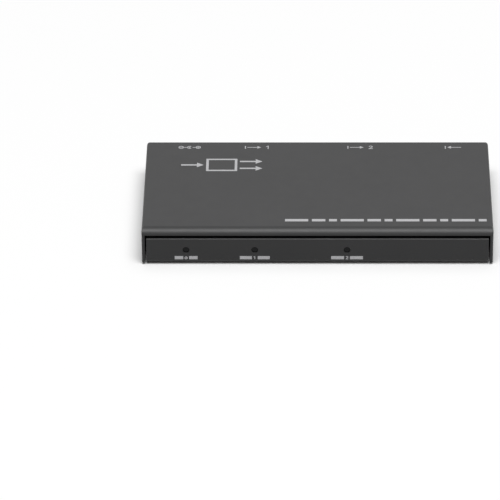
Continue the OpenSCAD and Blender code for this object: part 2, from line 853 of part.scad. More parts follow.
module light_pipe(x) {
  color("#34383b")
    translate([x, pipe_back_y, light_z])
      rotate([90, 0, 0]) {
        cylinder(d = pipe_d, h = pipe_back_y - pipe_front_y);
        translate([0, 0, pipe_back_y - front_in_y - pipe_flange_t])
          cylinder(d = pipe_flange_d, h = pipe_flange_t);
      }
}

module lamp(x) {
  color("#dfe0dc") on_board(x, board_front + lamp_d / 2, [lamp_w, lamp_d, lamp_h]);
}

// Chips

// Gull-wing lead standing on the board, from a chip's side at x = 0 out to -reach
module gull_lead(reach, shoulder_z) {
  knee = -0.4 * reach - lead_t;
  translate([-reach, -lead_w / 2, 0]) cube([reach + knee + lead_t, lead_w, lead_t]);
  translate([knee, -lead_w / 2, 0]) cube([lead_t, lead_w, shoulder_z + lead_t]);
  translate([knee, -lead_w / 2, shoulder_z]) cube([-knee, lead_w, lead_t]);
}

module splitter_chip() {
  half = chip_w / 2;
  color("#1c1c1e")
    box([chip_x - half, chip_y - half, board_top + chip_stand], [chip_x + half, chip_y + half, chip_top]);
}

module splitter_chip_leads() {
  color("#b9bbbd")
    translate([chip_x, chip_y, board_top])
      for (turn = [0 : 90 : 270], y = row_xs(chip_leads, chip_pitch))
        rotate(turn)
          translate([-chip_w / 2, y, 0])
            gull_lead(lead_reach, chip_stand + chip_h / 2);
}

module thermal_pad() {
  half = chip_w / 2;
  color("#8d9398")
    box([chip_x - half, chip_y - half, chip_top], [chip_x + half, chip_y + half, sink_z]);
}

module heat_sink() {
  step = (sink_w - sink_fin_t) / (sink_fins - 1);
  color("#3c3f42") translate([chip_x - sink_w / 2, chip_y - sink_w / 2, sink_z]) {
    cube([sink_w, sink_w, sink_base_t]);
    for (i = [0 : sink_fins - 1])
      translate([i * step, 0, 0]) cube([sink_fin_t, sink_w, sink_top - sink_z]);
  }
}

module at_memory() {
  translate([chip_x + memory_from_chip, chip_y, board_top]) children();
}

module memory_chip() {
  color("#1c1c1e") at_memory()
    box([-memory_w / 2, -memory_l / 2, chip_stand], [memory_w / 2, memory_l / 2, memory_h]);
}

module memory_chip_leads() {
  color("#b9bbbd") at_memory()
    for (turn = [0, 180], y = row_xs(memory_leads, memory_pitch))
      rotate(turn)
        translate([-memory_w / 2, y, 0])
          gull_lead(lead_reach, memory_h / 2);
}

module clock_crystal() {
  color("#c4c6c8") translate([chip_x - crystal_from_chip, chip_y, board_top])
    linear_extrude(crystal_h) round_plate(crystal_w, crystal_l, crystal_r);
}

module at_regulator() {
  translate([dc_x, supply_y, board_top]) children();
}

module voltage_regulator() {
  color("#1c1c1e") at_regulator()
    box([-regulator_w / 2, -regulator_d / 2, chip_stand], [regulator_w / 2, regulator_d / 2, regulator_h]);
}

module regulator_leads() {
  tab_x = regulator_tab_w / 2;
  tab_y = regulator_d / 2;
  color("#b9bbbd") at_regulator() {
    for (x = row_xs(supply_leads, regulator_pitch))
      translate([x, -regulator_d / 2, 0])
        rotate(90)
          gull_lead(regulator_lead_l, regulator_h / 2);
    box([-tab_x, tab_y, 0], [tab_x, tab_y + regulator_lead_l, lead_t]);
    box([-tab_x, tab_y, 0], [tab_x, tab_y + lead_t, regulator_h / 2]);
  }
}

module power_inductor() {
  color("#46484a") translate([dc_x + inductor_from_regulator, supply_y, board_top])
    linear_extrude(inductor_h) round_plate(inductor_w, inductor_w, inductor_r);
}

module at_capacitors() {
  for (side = [-1, 1])
    translate([dc_x + side * cap_spacing / 2, supply_y - cap_from_regulator, board_top]) children();
}

module storage_capacitors() {
  color("#b3b5b8") at_capacitors()
    translate([0, 0, cap_base_h]) cylinder(d = cap_d, h = cap_h - cap_base_h);
}

module capacitor_bases() {
  half = cap_d / 2 + cap_base_rim;
  color("#222224") at_capacitors()
    linear_extrude(cap_base_h)
      round_rect([-half, -half], [half, half], [half / 2, half / 2, cap_base_rim, cap_base_rim]);
}

module surge_arrays() {
  color("#202022")
    for (x = video_xs, side = [-1, 1])
      on_board(x + side * surge_spacing / 2, surge_y, [surge_l, surge_w, surge_h]);
}

module chip_capacitors() {
  out = max(chip_w / 2 + lead_reach, sink_w / 2) + small_from_part / 2;
  color("#a98f6b")
    for (side = [-1, 1], along = row_xs(capacitors_a_side, small_pitch)) {
      on_board(chip_x + side * out, chip_y + along, [small_l, small_w, small_h]);
      on_board(chip_x + along, chip_y + side * out, [small_l, small_w, small_h]);
    }
}

module chip_resistors() {
  color("#2a2a2c") {
    for (x = light_xs)
      on_board(x, board_front + lamp_d + small_from_part, [small_l, small_w, small_h]);
    for (x = video_xs, along = row_xs(resistors_a_socket, small_pitch))
      on_board(x + along, surge_y - small_from_part, [small_l, small_w, small_h]);
  }
}

top_cover();
base_tray();
cover_screws();
rubber_feet();
main_board();
board_standoffs();
board_screws();
socket_shell(out_1_x);  // output_1_shell
socket_insulator(out_1_x);  // output_1_insulator
socket_contacts(out_1_x);  // output_1_contacts
socket_shell(out_2_x);  // output_2_shell
socket_insulator(out_2_x);  // output_2_insulator
socket_contacts(out_2_x);  // output_2_contacts
socket_shell(in_x);  // input_shell
socket_insulator(in_x);  // input_insulator
socket_contacts(in_x);  // input_contacts
power_jack_housing();
power_jack_pin();
power_jack_spring();
light_pipe(light_xs[0]);  // power_light_pipe
light_pipe(light_xs[1]);  // output_1_light_pipe
light_pipe(light_xs[2]);  // output_2_light_pipe
lamp(light_xs[0]);  // power_lamp
lamp(light_xs[1]);  // output_1_lamp
lamp(light_xs[2]);  // output_2_lamp
splitter_chip();
splitter_chip_leads();
thermal_pad();
heat_sink();
memory_chip();
memory_chip_leads();
clock_crystal();
voltage_regulator();
regulator_leads();
power_inductor();
storage_capacitors();
capacitor_bases();
surge_arrays();
chip_capacitors();
chip_resistors();
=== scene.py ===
"""Looks of a slim video splitter: finishes, printed signs, moulded feet, camera and studio.

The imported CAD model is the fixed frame. Everything is in metres: +X to the right, +Y to the rear, +Z up.
"""

import logging
import math
from dataclasses import dataclass, field
from enum import Enum
from functools import cache
from typing import Iterable, Sequence

import bmesh
import bpy
from mathutils import Euler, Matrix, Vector


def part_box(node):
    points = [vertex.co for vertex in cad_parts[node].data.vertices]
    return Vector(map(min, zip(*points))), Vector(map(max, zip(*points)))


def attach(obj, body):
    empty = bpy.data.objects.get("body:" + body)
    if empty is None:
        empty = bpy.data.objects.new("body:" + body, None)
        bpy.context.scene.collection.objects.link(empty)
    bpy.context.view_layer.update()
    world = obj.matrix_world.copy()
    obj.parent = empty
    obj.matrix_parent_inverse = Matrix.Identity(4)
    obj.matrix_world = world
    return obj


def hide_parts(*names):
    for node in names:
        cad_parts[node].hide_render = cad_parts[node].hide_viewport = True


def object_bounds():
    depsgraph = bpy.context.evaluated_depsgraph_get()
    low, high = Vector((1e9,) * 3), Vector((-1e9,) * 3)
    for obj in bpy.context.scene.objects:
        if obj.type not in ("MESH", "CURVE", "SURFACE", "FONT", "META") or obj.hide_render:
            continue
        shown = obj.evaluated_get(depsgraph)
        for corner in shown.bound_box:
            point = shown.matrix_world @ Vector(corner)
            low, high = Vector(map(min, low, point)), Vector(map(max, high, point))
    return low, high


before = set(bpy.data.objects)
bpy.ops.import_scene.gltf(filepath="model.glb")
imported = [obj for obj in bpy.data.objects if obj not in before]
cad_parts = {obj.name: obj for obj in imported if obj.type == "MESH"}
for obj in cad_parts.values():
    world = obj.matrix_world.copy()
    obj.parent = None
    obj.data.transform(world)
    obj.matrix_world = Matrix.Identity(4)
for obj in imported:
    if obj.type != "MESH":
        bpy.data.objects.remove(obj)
CAD_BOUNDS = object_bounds()

MM = 0.001
BODY = "root"
LOG = logging.getLogger("video_splitter")

Point = tuple[float, float]
Colour = tuple[float, float, float]


def rgba(colour: Colour) -> tuple[float, float, float, float]:
    """Linear colour with full alpha."""
    return (*colour, 1.0)


def middle(node: str) -> Vector:
    """Middle of a CAD node's box."""
    low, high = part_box(node)
    return (low + high) / 2


class Graph:
    """Node tree of one material, with short calls for the nodes that the finishes share."""

    def __init__(self, name: str) -> None:
        """Start a material whose textures follow the row frame, in metres.

        Args:
            name: Name of the material.
        """
        self.material = bpy.data.materials.new(name)
        self.material.use_nodes = True
        self.tree = self.material.node_tree
        self.shader = self.tree.nodes["Principled BSDF"]
        self.place = self.add("ShaderNodeTexCoord").outputs["Object"]

    def add(self, kind: str, **settings: object) -> bpy.types.Node:
        """Make a node.

        Args:
            kind: Type name of the node.
            settings: Properties to set on it.

        Returns:
            The new node.
        """
        node = self.tree.nodes.new(kind)
        for name, value in settings.items():
            setattr(node, name, value)
        return node

    def feed(self, socket: bpy.types.NodeSocket, value: object) -> None:
        """Link an output to a socket, or set the socket's own value.

        Args:
            socket: Socket to feed.
            value: An output, or a plain value of the socket's kind.
        """
        if isinstance(value, bpy.types.NodeSocket):
            self.tree.links.new(value, socket)
        else:
            socket.default_value = value

    def surface(self, **values: object) -> None:
        """Set the shader's sockets, with the words of a socket's name joined by underscores.

        Args:
            values: A number, a colour or an output for each socket.
        """
        sockets = {socket.name.lower().replace(" ", "_"): socket for socket in self.shader.inputs}
        for name, value in values.items():
            self.feed(sockets[name], value)

    def stretched(self, stretch: Sequence[float]) -> bpy.types.NodeSocket:
        """Texture place with each axis scaled.

        Args:
            stretch: Factor for each axis; a small one draws the texture out along it.

        Returns:
            The scaled place.
        """
        mapping = self.add("ShaderNodeMapping")
        self.feed(mapping.inputs["Vector"], self.place)
        self.feed(mapping.inputs["Scale"], tuple(stretch))
        return mapping.outputs["Vector"]

    def noise(self, size: float, detail: float = 2.0, stretch: Sequence[float] = (1, 1, 1)) -> bpy.types.NodeSocket:
        """Soft noise.

        Args:
            size: Size of its features.
            detail: How many finer layers it has.
            stretch: Factor for each axis.

        Returns:
            A value about 0.5.
        """
        texture = self.add("ShaderNodeTexNoise")
        self.feed(texture.inputs["Vector"], self.stretched(stretch))
        self.feed(texture.inputs["Scale"], 1.0 / size)
        self.feed(texture.inputs["Detail"], detail)
        return texture.outputs["Fac"]

    def grains(self, size: float) -> bpy.types.NodeSocket:
        """Rounded cells, as in a textured coat.

        Args:
            size: Distance between cells.

        Returns:
            Distance from a cell's middle.
        """
        texture = self.add("ShaderNodeTexVoronoi", feature="SMOOTH_F1")
        self.feed(texture.inputs["Vector"], self.place)
        self.feed(texture.inputs["Scale"], 1.0 / size)
        return texture.outputs["Distance"]

    def spread(self, value: object, low: float, high: float, span: Point = (0.3, 0.7)) -> bpy.types.NodeSocket:
        """Bring a value from one range to another, and hold it there.

        Args:
            value: The value to bring over.
            low: Result at the span's start.
            high: Result at the span's end.
            span: Range that the value comes from.

        Returns:
            The new value.
        """
        node = self.add("ShaderNodeMapRange")
        self.feed(node.inputs["Value"], value)
        self.feed(node.inputs["From Min"], span[0])
        self.feed(node.inputs["From Max"], span[1])
        self.feed(node.inputs["To Min"], low)
        self.feed(node.inputs["To Max"], high)
        return node.outputs["Result"]

    def sum(self, operation: str, first: object, second: object) -> bpy.types.NodeSocket:
        """Join two values by one step of arithmetic.

        Args:
            operation: Name of the step, such as MULTIPLY.
            first: First value.
            second: Second value.

        Returns:
            The result.
        """
        node = self.add("ShaderNodeMath", operation=operation)
        self.feed(node.inputs[0], first)
        self.feed(node.inputs[1], second)
        return node.outputs[0]

    def blend(self, share: object, first: object, second: object) -> bpy.types.NodeSocket:
        """Mix two colours.

        Args:
            share: Share of the second colour.
            first: Colour at 0.
            second: Colour at 1.

        Returns:
            The mixed colour.
        """
        node = self.add("ShaderNodeMix", data_type="RGBA")
        self.feed(node.inputs[0], share)
        self.feed(node.inputs[6], first)
        self.feed(node.inputs[7], second)
        return node.outputs[2]

    def bump(self, height: object, depth: float, under: object = None) -> bpy.types.NodeSocket:
        """Relief in the surface.

        Args:
            height: Height of the relief, from 0 to 1.
            depth: Real depth of the relief.
            under: Normal that the relief lies on.

        Returns:
            The new normal.
        """
        node = self.add("ShaderNodeBump")
        self.feed(node.inputs["Distance"], depth)
        self.feed(node.inputs["Height"], height)
        if under is not None:
            self.feed(node.inputs["Normal"], under)
        return node.outputs["Normal"]

    def eased(self, radius: float) -> tuple[bpy.types.NodeSocket, bpy.types.NodeSocket]:
        """Edges that are slightly broken, as on any made thing.

        Args:
            radius: Radius of the broken edge.

        Returns:
            The eased normal, and a mask that is 1 along the edges.
        """
        bevel = self.add("ShaderNodeBevel", samples=6)
        self.feed(bevel.inputs["Radius"], radius)
        flat = self.add("ShaderNodeNewGeometry")
        turn = self.add("ShaderNodeVectorMath", operation="DOT_PRODUCT")
        self.feed(turn.inputs[0], bevel.outputs["Normal"])
        self.feed(turn.inputs[1], flat.outputs["Normal"])
        mask = self.spread(turn.outputs["Value"], 1.0, 0.0, (0.75, 0.97))
        return bevel.outputs["Normal"], mask


class Finish:
    """A finish makes its material once and puts it on pieces."""

    name: str

    def graph(self) -> Graph:
        """Build the material's nodes."""
        raise NotImplementedError

    @cache
    def material(self) -> bpy.types.Material:
        """The material, made on first use."""
        return self.graph().material

    def put_on(self, *pieces: bpy.types.Object) -> None:
        """Cover pieces with the finish.

        Args:
            pieces: CAD nodes or new pieces.
        """
        material = self.material()
        for piece in pieces:
            if not piece.material_slots:
                piece.data.materials.append(material)
            for slot in piece.material_slots:
                slot.material = material


@dataclass(frozen=True)
class TexturedCoat(Finish):
    """Fine-grained stoved coat on sheet metal, rubbed a little lighter along its edges."""

    name: str
    colour: Colour
    worn: Colour
    roughness: Point = (0.44, 0.47)
    grain: float = 0.28 * MM
    depth: float = 0.012 * MM
    edge: float = 0.22 * MM
    sheen: float = 0.4
    cloud: float = 14 * MM
    cloud_dark: float = 0.8
    rub: float = 1.6 * MM
    rub_share: Point = (0.1, 0.75)
    gloss: float = 3.5 * MM

    def graph(self) -> Graph:
        """Build the coat: cloudy colour, grain and rubbed edges.

        Returns:
            The material's graph.
        """
        g = Graph(self.name)
        normal, edge = g.eased(self.edge)
        dark = tuple(self.cloud_dark * part for part in self.colour)
        coat = g.blend(g.spread(g.noise(self.cloud, 4.0), 0.0, 1.0), rgba(dark), rgba(self.colour))
        rub = g.sum("MULTIPLY", edge, g.spread(g.noise(self.rub, 5.0), *self.rub_share))
        grain = g.sum("ADD", g.grains(self.grain), g.noise(0.5 * self.grain, 3.0))
        g.surface(
            base_color=g.blend(rub, coat, rgba(self.worn)),
            roughness=g.spread(g.noise(self.gloss, 5.0), *self.roughness),
            specular_ior_level=self.sheen,
            normal=g.bump(grain, self.depth, normal),
        )
        return g


@dataclass(frozen=True)
class Plating(Finish):
    """Plated or bare metal with fine rolling or turning lines, a little tarnish and a painted highlight along its
    edges.
    """

    name: str
    colour: Colour
    tarnish: Colour
    roughness: Point = (0.18, 0.34)
    lines: tuple[float, float, float] = (1.0, 0.05, 1.0)
    line_size: float = 0.12 * MM
    depth: float = 0.002 * MM
    edge: float = 0.06 * MM
    # painted highlight along the edges: gain on the metal's colour, and its share
    edge_highlight_gain: float = 1.12
    edge_highlight_share: float = 0.7
    stain: float = 2.5 * MM
    stain_most: float = 0.55
    stain_span: Point = (0.45, 0.75)
    stain_dull: float = 0.3

    def graph(self) -> Graph:
        """Build the metal: lines, stains and a painted highlight along the edges.

        Returns:
            The material's graph.
        """
        g = Graph(self.name)
        normal, edge = g.eased(self.edge)
        lines = g.noise(self.line_size, 3.0, self.lines)
        stain = g.spread(g.noise(self.stain, 5.0), 0.0, self.stain_most, self.stain_span)
        worn = g.blend(stain, rgba(self.colour), rgba(self.tarnish))
        # painted highlight: the metal's colour is raised along every edge to stand in for light caught there
        painted_highlight = tuple(min(1.0, self.edge_highlight_gain * part) for part in self.colour)
        g.surface(
            base_color=g.blend(g.sum("MULTIPLY", edge, self.edge_highlight_share), worn, rgba(painted_highlight)),
            metallic=1.0,
            roughness=g.spread(g.sum("ADD", lines, g.sum("MULTIPLY", stain, self.stain_dull)), *self.roughness),
            normal=g.bump(lines, self.depth, normal),
        )
        return g


@dataclass(frozen=True)
class Moulding(Finish):
    """Moulded plastic, rubber, epoxy or pressed ceramic with a fine spark-eroded grain."""

    name: str
    colour: Colour
    speck: Colour
    roughness: Point = (0.45, 0.6)
    grain: float = 0.12 * MM
    depth: float = 0.006 * MM
    edge: float = 0.1 * MM
    speck_size: float = 0.3 * MM
    speck_most: float = 0.6
    speck_span: Point = (0.5, 0.8)
    scuff: float = 0.9 * MM
    scuff_share: Point = (0.1, 0.6)
    gloss: float = 1.2 * MM

    def graph(self) -> Graph:
        """Build the moulding: grain, specks and softened edges.

        Returns:
            The material's graph.
        """
        g = Graph(self.name)
        normal, edge = g.eased(self.edge)
        speck = g.spread(g.noise(self.speck_size, 4.0), 0.0, self.speck_most, self.speck_span)
        scuff = g.sum("MULTIPLY", edge, g.spread(g.noise(self.scuff, 3.0), *self.scuff_share))
        share = g.sum("MAXIMUM", speck, scuff)
        g.surface(
            base_color=g.blend(share, rgba(self.colour), rgba(self.speck)),
            roughness=g.spread(g.noise(self.gloss, 4.0), *self.roughness),
            normal=g.bump(g.noise(self.grain, 3.0), self.depth, normal),
        )
        return g


@dataclass(frozen=True)
class SmokyLens(Finish):
    """Dark clear moulding that looks black while the lamp behind it is off."""

    name: str
    colour: Colour
    deep: Colour
    roughness: Point = (0.06, 0.22)
    edge: float = 0.12 * MM
    edge_dull: float = 0.4
    cloud: float = 0.6 * MM
    ripple: float = 0.4 * MM
    depth: float = 0.003 * MM
    sheen: float = 0.15

    def graph(self) -> Graph:
        """Build the lens: dark depth under a glossy, faintly marked front.

        Returns:
            The material's graph.
        """
        g = Graph(self.name)
        normal, edge = g.eased(self.edge)
        cloud = g.noise(self.cloud, 3.0)
        g.surface(
            base_color=g.blend(g.spread(cloud, 0.0, 1.0), rgba(self.deep), rgba(self.colour)),
            roughness=g.spread(g.sum("ADD", cloud, g.sum("MULTIPLY", edge, self.edge_dull)), *self.roughness),
            specular_ior_level=self.sheen,
            normal=g.bump(g.noise(self.ripple, 2.0), self.depth, normal),
        )
        return g


@dataclass(frozen=True)
class SolderMask(Finish):
    """Lacquered laminate with copper tracks that show as paler lines."""

    name: str
    colour: Colour
    track: Colour
    pitch: float = 1.1 * MM
    rows: int = 12
    run: float = 0.5
    line: float = 0.012
    field_size: float = 9 * MM
    field_span: Point = (0.4, 0.5)
    weave: float = 0.35 * MM
    weave_stretch: tuple[float, float, float] = (1.0, 0.3, 1.0)
    weave_share: float = 0.25
    gloss: float = 4 * MM
    roughness: Point = (0.28, 0.42)
    edge: float = 0.1 * MM
    depth: float = 0.02 * MM

    def graph(self) -> Graph:
        """Build the board: a maze of tracks, weave and lacquer.

        Returns:
            The material's graph.
        """
        g = Graph(self.name)
        normal, edge = g.eased(self.edge)
        maze = g.add("ShaderNodeTexBrick", offset=0.37, squash=0.6, squash_frequency=3)
        g.feed(maze.inputs["Vector"], g.place)
        g.feed(maze.inputs["Scale"], 1.0 / (self.rows * self.pitch))
        g.feed(maze.inputs["Mortar Size"], self.line)
        g.feed(maze.inputs["Brick Width"], self.run)
        g.feed(maze.inputs["Row Height"], 1.0 / self.rows)
        fields = g.spread(g.noise(self.field_size, 1.0), 0.0, 1.0, self.field_span)
        track = g.sum("MULTIPLY", maze.outputs["Fac"], fields)
        weave = g.noise(self.weave, 1.0, self.weave_stretch)
        ground = g.blend(g.spread(weave, 0.0, self.weave_share), rgba(self.colour), rgba(self.track))
        g.surface(
            base_color=g.blend(g.sum("MAXIMUM", track, edge), ground, rgba(self.track)),
            roughness=g.spread(g.noise(self.gloss, 3.0), *self.roughness),
            normal=g.bump(track, self.depth, normal),
        )
        return g


@dataclass(frozen=True)
class ScreenInk(Finish):
    """Pale ink printed through a mesh, a little thin and speckled."""

    name: str
    colour: Colour
    thin: Colour
    thin_size: float = 0.35 * MM
    thin_most: float = 0.8
    thin_span: Point = (0.5, 0.75)
    mesh: float = 0.14 * MM
    depth: float = 0.004 * MM
    gloss: float = 0.8 * MM
    roughness: Point = (0.5, 0.65)

    def graph(self) -> Graph:
        """Build the ink: mesh pattern, thin spots and a dry surface.

        Returns:
            The material's graph.
        """
        g = Graph(self.name)
        thin = g.spread(g.noise(self.thin_size, 4.0), 0.0, self.thin_most, self.thin_span)
        g.surface(
            base_color=g.blend(thin, rgba(self.colour), rgba(self.thin)),
            roughness=g.spread(g.noise(self.gloss, 3.0), *self.roughness),
            normal=g.bump(g.grains(self.mesh), self.depth),
        )
        return g


CASE_COAT = TexturedCoat("stoved_coat", (0.008, 0.008, 0.0085), (0.04, 0.04, 0.042))
SCREW_BLACK = TexturedCoat(
    "black_screw", (0.012, 0.012, 0.013), (0.1, 0.1, 0.105), (0.3, 0.45), 0.1 * MM, 0.004 * MM, 0.08 * MM
)
FOOT_RUBBER = Moulding("foot_rubber", (0.014, 0.014, 0.014), (0.05, 0.05, 0.048), (0.65, 0.85), 0.2 * MM, 0.02 * MM)
BOARD_MASK = SolderMask("board_mask", (0.008, 0.06, 0.028), (0.03, 0.15, 0.07))
NICKEL = Plating("nickel_sheet", (0.6, 0.58, 0.55), (0.42, 0.39, 0.35))
GOLD = Plating("gold_contact", (0.83, 0.58, 0.2), (0.6, 0.4, 0.15), (0.16, 0.3), edge=0.03 * MM)
TIN = Plating("tin_lead", (0.66, 0.66, 0.67), (0.45, 0.45, 0.46), (0.25, 0.45), edge=0.03 * MM)
ZINC = Plating("zinc_screw", (0.62, 0.63, 0.65), (0.42, 0.43, 0.46), (0.25, 0.4), (1.0, 1.0, 0.1))
BRASS = Plating("turned_brass", (0.72, 0.5, 0.2), (0.45, 0.3, 0.12), (0.2, 0.36), (1.0, 1.0, 0.08))
FIN_METAL = Plating("anodised_fin", (0.06, 0.063, 0.066), (0.03, 0.032, 0.034), (0.35, 0.5), edge=0.1 * MM)
CAN_METAL = Plating("capacitor_can", (0.62, 0.63, 0.64), (0.5, 0.5, 0.51), (0.22, 0.36), (1.0, 1.0, 0.06))
BLACK_PLASTIC = Moulding("black_plastic", (0.012, 0.012, 0.012), (0.03, 0.03, 0.03), (0.38, 0.52))
CHIP_MOULD = Moulding("chip_mould", (0.014, 0.014, 0.015), (0.04, 0.04, 0.042), (0.5, 0.7))
LAMP_WHITE = Moulding("lamp_white", (0.72, 0.71, 0.66), (0.55, 0.54, 0.48), (0.3, 0.45))
PAD_GREY = Moulding("silicone_pad", (0.22, 0.24, 0.26), (0.3, 0.32, 0.34), (0.6, 0.8), 0.25 * MM, 0.02 * MM)
FERRITE = Moulding("ferrite", (0.045, 0.046, 0.048), (0.09, 0.09, 0.09), (0.55, 0.75), 0.2 * MM, 0.015 * MM)
CERAMIC = Moulding("chip_ceramic", (0.36, 0.26, 0.15), (0.48, 0.36, 0.22), (0.4, 0.6))
LENS = SmokyLens("smoky_lens", (0.004, 0.0045, 0.005), (0.001, 0.001, 0.001))
INK = ScreenInk("printed_ink", (0.36, 0.36, 0.37), (0.22, 0.22, 0.225))


def add_piece(name: str, mesh: bmesh.types.BMesh, smooth: bool = False) -> bpy.types.Object:
    """Turn a built mesh into a piece that rides on the part's body.

    Args:
        name: Name of the piece.
        mesh: The built mesh, which is freed.
        smooth: Whether its faces are shaded smooth.

    Returns:
        The new object.
    """
    bmesh.ops.recalc_face_normals(mesh, faces=mesh.faces)
    data = bpy.data.meshes.new(name)
    mesh.to_mesh(data)
    mesh.free()
    for polygon in data.polygons:
        polygon.use_smooth = smooth
    piece = bpy.data.objects.new(name, data)
    bpy.context.scene.collection.objects.link(piece)
    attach(piece, BODY)
    LOG.info("made %s with %d faces", name, len(data.polygons))
    return piece


def dress(finish: Finish, *nodes: str) -> None:
    """Put a finish on CAD nodes.

    Args:
        finish: The finish.
        nodes: Names of the nodes.
    """
    for node in nodes:
        finish.put_on(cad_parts[node])
        LOG.info("dressed %s in %s", node, finish.name)


class Face(Enum):
    """Faces of the case that carry print."""

    TOP = "top"
    FRONT = "front"


@dataclass(frozen=True)
class Line:
    """One printed line of even width, with round ends unless it closes on itself."""

    points: tuple[Point, ...]
    width: float
    closed: bool = False
    cap_steps: int = 6
    sharpest: float = 0.5

    def sides(self) -> list[tuple[Vector, Vector]]:
        """Left and right edge of the line at each of its points.

        Returns:
            One pair for each point.
        """
        places = [Vector(point) for point in self.points]
        count = len(places)
        pairs = []
        for i, place in enumerate(places):
            steps = []
            if self.closed or i > 0:
                steps.append((place - places[i - 1]).normalized())
            if self.closed or i < count - 1:
                steps.append((places[(i + 1) % count] - place).normalized())
            along = sum(steps, Vector((0.0, 0.0))).normalized()
            across = Vector((-along.y, along.x)) * self.width / 2
            reach = across / max(self.sharpest, along.dot(steps[0]))
            pairs.append((place + reach, place - reach))
        return pairs

    def cap(self, end: Vector, start: Vector) -> list[Vector]:
        """Half circle that closes an end of the line.

        Args:
            end: Edge point where the half circle ends.
            start: Edge point where it starts, anticlockwise.

        Returns:
            The outline of the half disc.
        """
        centre = (start + end) / 2
        arm = start - centre
        first = math.atan2(arm.y, arm.x)
        angles = [first + math.pi * i / self.cap_steps for i in range(self.cap_steps + 1)]
        return [centre + arm.length * Vector((math.cos(a), math.sin(a))) for a in angles]

    def faces(self) -> list[list[Vector]]:
        """Outlines that cover the line without overlap.

        Returns:
            One outline for each face.
        """
        pairs = self.sides()
        nexts = pairs[1:] + pairs[:1] if self.closed else pairs[1:]
        found = [[a[0], a[1], b[1], b[0]] for a, b in zip(pairs, nexts)]
        if not self.closed:
            found.append(self.cap(pairs[0][1], pairs[0][0]))
            found.append(self.cap(pairs[-1][0], pairs[-1][1]))
        return found


@dataclass(frozen=True)
class Patch:
    """One printed area inside an outline."""

    points: tuple[Point, ...]

    def faces(self) -> list[list[Vector]]:
        """The outline itself."""
        return [[Vector(point) for point in self.points]]


Shape = Line | Patch
ROUND_STEPS = 24
ARROW_HEAD = 0.75


def arc(centre: Point, radius: float, start: float, end: float, steps: int = 24) -> tuple[Point, ...]:
    """Points on an arc.

    Args:
        centre: Middle of the arc.
        radius: Its radius.
        start: First angle, in degrees.
        end: Last angle, in degrees.
        steps: Number of steps.

    Returns:
        The points, from the first angle to the last.
    """
    angles = [math.radians(start + (end - start) * i / steps) for i in range(steps + 1)]
    return tuple((centre[0] + radius * math.cos(a), centre[1] + radius * math.sin(a)) for a in angles)


def round_points(centre: Point, radius: float) -> tuple[Point, ...]:
    """Points all round a circle."""
    return arc(centre, radius, 0, 360 - 360 / ROUND_STEPS, ROUND_STEPS - 1)


def ring(centre: Point, radius: float, width: float) -> Line:
    """Printed circle.

    Args:
        centre: Middle of the circle.
        radius: Radius at the middle of the line.
        width: Width of the line.

    Returns:
        The closed line.
    """
    return Line(round_points(centre, radius), width, closed=True)


def dot(centre: Point, radius: float) -> Patch:
    """Printed disc around a point."""
    return Patch(round_points(centre, radius))


def bar(low: Point, high: Point) -> Patch:
    """Printed rectangle between two corners."""
    return Patch((low, (high[0], low[1]), high, (low[0], high[1])))


def plus(centre: Point, reach: float, width: float) -> Patch:
    """Printed plus sign.

    Args:
        centre: Middle of the sign.
        reach: Length of each arm.
        width: Width of the arms.

    Returns:
        The sign as one area.
    """
    x, y = centre
    half = width / 2
    arm = ((half, -half), (reach, -half), (reach, half))
    return Patch(tuple(
        (x + along * u - across * v, y + across * u + along * v)
        for along, across in ((1, 0), (0, 1), (-1, 0), (0, -1))
        for u, v in arm
    ))


def arrow(tail: Point, length: float, height: float, shaft: float) -> Patch:
    """Solid arrow along +X.

    Args:
        tail: Middle of its tail.
        length: Length from tail to tip.
        height: Height of its head.
        shaft: Width of its shaft.

    Returns:
        The arrow; a negative length turns it round.
    """
    x, y = tail
    neck = x + length - math.copysign(ARROW_HEAD * height, length)
    return Patch((
        (x, y - shaft / 2), (neck, y - shaft / 2), (neck, y - height / 2), (x + length, y),
        (neck, y + height / 2), (neck, y + shaft / 2), (x, y + shaft / 2),
    ))


class Sign(Enum):
    """Plain signs that the print is made of."""

    ONE = "one"
    TWO = "two"
    POWER = "power"
    POLARITY = "polarity"
    OUTPUT = "output"
    INPUT = "input"

    def shapes(self, centre: Point, height: float, width: float) -> list[Shape]:
        """Draw the sign.

        Args:
            centre: Middle of the sign.
            height: Height of the sign.
            width: Width of its lines.

        Returns:
            The sign's lines and areas.
        """
        x, y = centre
        half = height / 2
        if self is Sign.ONE:
            return [Line(((x - 0.3 * height, y + 0.25 * height), (x, y + half), (x, y - half)), width)]
        if self is Sign.TWO:
            bow = arc((x, y + 0.22 * height), 0.28 * height, 160, -35, 12)
            foot = ((x - 0.3 * height, y - half), (x + 0.32 * height, y - half))
            return [Line(bow + foot, width)]
        if self is Sign.POWER:
            bow = arc((x, y - 0.08 * height), 0.42 * height, 130, 410, 20)
            return [Line(bow, width), Line(((x, y), (x, y + half)), width)]
        if self is Sign.POLARITY:
            return self.polarity(centre, height, width)
        length = 2.6 * height if self is Sign.OUTPUT else -2.6 * height
        stop = x - 1.65 * height
        return [
            arrow((x - length / 2, y), length, 0.95 * height, width),
            bar((stop - width / 2, y - half), (stop + width / 2, y + half)),
        ]

    @staticmethod
    def polarity(centre: Point, height: float, width: float) -> list[Shape]:
        """Draw a ring, an open ring and a ring in a row, for a plug whose pin is positive.

        Args:
            centre: Middle of the sign.
            height: Height of the sign.
            width: Width of its lines.

        Returns:
            The sign's lines and areas.
        """
        x, y = centre
        radius = (height - width) / 2
        step = 1.6 * height
        inner = radius - 0.8 * width
        gap = radius + 1.1 * width
        return [
            ring((x - step, y), radius, width),
            bar((x - step - inner, y - 0.35 * width), (x - step + inner, y + 0.35 * width)),
            Line(((x - step + gap, y), (x - gap, y)), width),
            Line(arc(centre, radius, 60, 300, 16), width),
            dot(centre, 0.9 * width),
            Line(((x + gap, y), (x + step - gap, y)), width),
            ring((x + step, y), radius, width),
            plus((x + step, y), inner, 0.7 * width),
        ]


